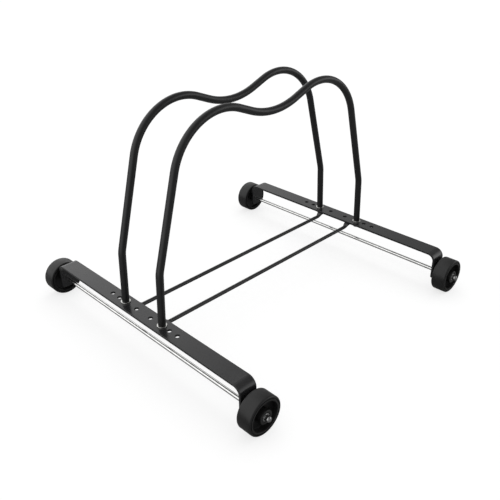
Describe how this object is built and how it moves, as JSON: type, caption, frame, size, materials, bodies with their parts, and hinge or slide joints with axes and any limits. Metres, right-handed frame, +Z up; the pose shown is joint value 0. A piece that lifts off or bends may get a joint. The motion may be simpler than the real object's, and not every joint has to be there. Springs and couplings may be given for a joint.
{
  "type": "floor bike rack",
  "caption": "Low floor rack on wheels that holds a bicycle upright by its tyre between two double-humped hoops bolted to flat-bar rails.",
  "frame": {"origin": "on the floor, under the middle of the rack", "axes": "+X along the rails and axles, +Y along the way a bicycle rolls in, +Z up"},
  "size_m": [0.4522, 0.4568, 0.3145],
  "materials": {
    "rail_coating": "semi-gloss black powder coat on steel flat bar",
    "rod_coating": "semi-gloss black powder coat on steel rod",
    "hoop_coating": "satin black powder coat on bent steel bar",
    "wheel_plastic": "moulded black plastic, fine satin grain",
    "axle_steel": "bright drawn steel rod, plated",
    "cap_steel": "polished pressed steel",
    "zinc_hardware": "bright zinc plate"
  },
  "bodies": {
    "base": {"front_rail": "rail_coating", "rear_rail": "rail_coating", "left_cross_rod": "rod_coating", "right_cross_rod": "rod_coating", "cross_rod_welds": "rod_coating", "left_hoop": "hoop_coating", "right_hoop": "hoop_coating", "hoop_washers": "zinc_hardware", "hoop_spring_washers": "zinc_hardware", "hoop_screws": "zinc_hardware"},
    "front_axle": {"front_axle": "axle_steel", "front_left_axle_cap": "cap_steel", "front_right_axle_cap": "cap_steel"},
    "front_left_wheel": {"front_left_wheel": "wheel_plastic"},
    "front_right_wheel": {"front_right_wheel": "wheel_plastic"},
    "rear_axle": {"rear_axle": "axle_steel", "rear_left_axle_cap": "cap_steel", "rear_right_axle_cap": "cap_steel"},
    "rear_left_wheel": {"rear_left_wheel": "wheel_plastic"},
    "rear_right_wheel": {"rear_right_wheel": "wheel_plastic"}
  },
  "joints": [
    {"name": "front_axle_spin", "type": "hinge", "parent": "base", "child": "front_axle", "pos_m": [0, -0.203, 0.0254], "axis": [1, 0, 0], "continuous": true},
    {"name": "front_left_wheel_spin", "type": "hinge", "parent": "front_axle", "child": "front_left_wheel", "pos_m": [-0.208, -0.203, 0.0254], "axis": [1, 0, 0], "continuous": true},
    {"name": "front_right_wheel_spin", "type": "hinge", "parent": "front_axle", "child": "front_right_wheel", "pos_m": [0.208, -0.203, 0.0254], "axis": [1, 0, 0], "continuous": true},
    {"name": "rear_axle_spin", "type": "hinge", "parent": "base", "child": "rear_axle", "pos_m": [0, 0.203, 0.0254], "axis": [1, 0, 0], "continuous": true},
    {"name": "rear_left_wheel_spin", "type": "hinge", "parent": "rear_axle", "child": "rear_left_wheel", "pos_m": [-0.208, 0.203, 0.0254], "axis": [1, 0, 0], "continuous": true},
    {"name": "rear_right_wheel_spin", "type": "hinge", "parent": "rear_axle", "child": "rear_right_wheel", "pos_m": [0.208, 0.203, 0.0254], "axis": [1, 0, 0], "continuous": true}
  ]
}
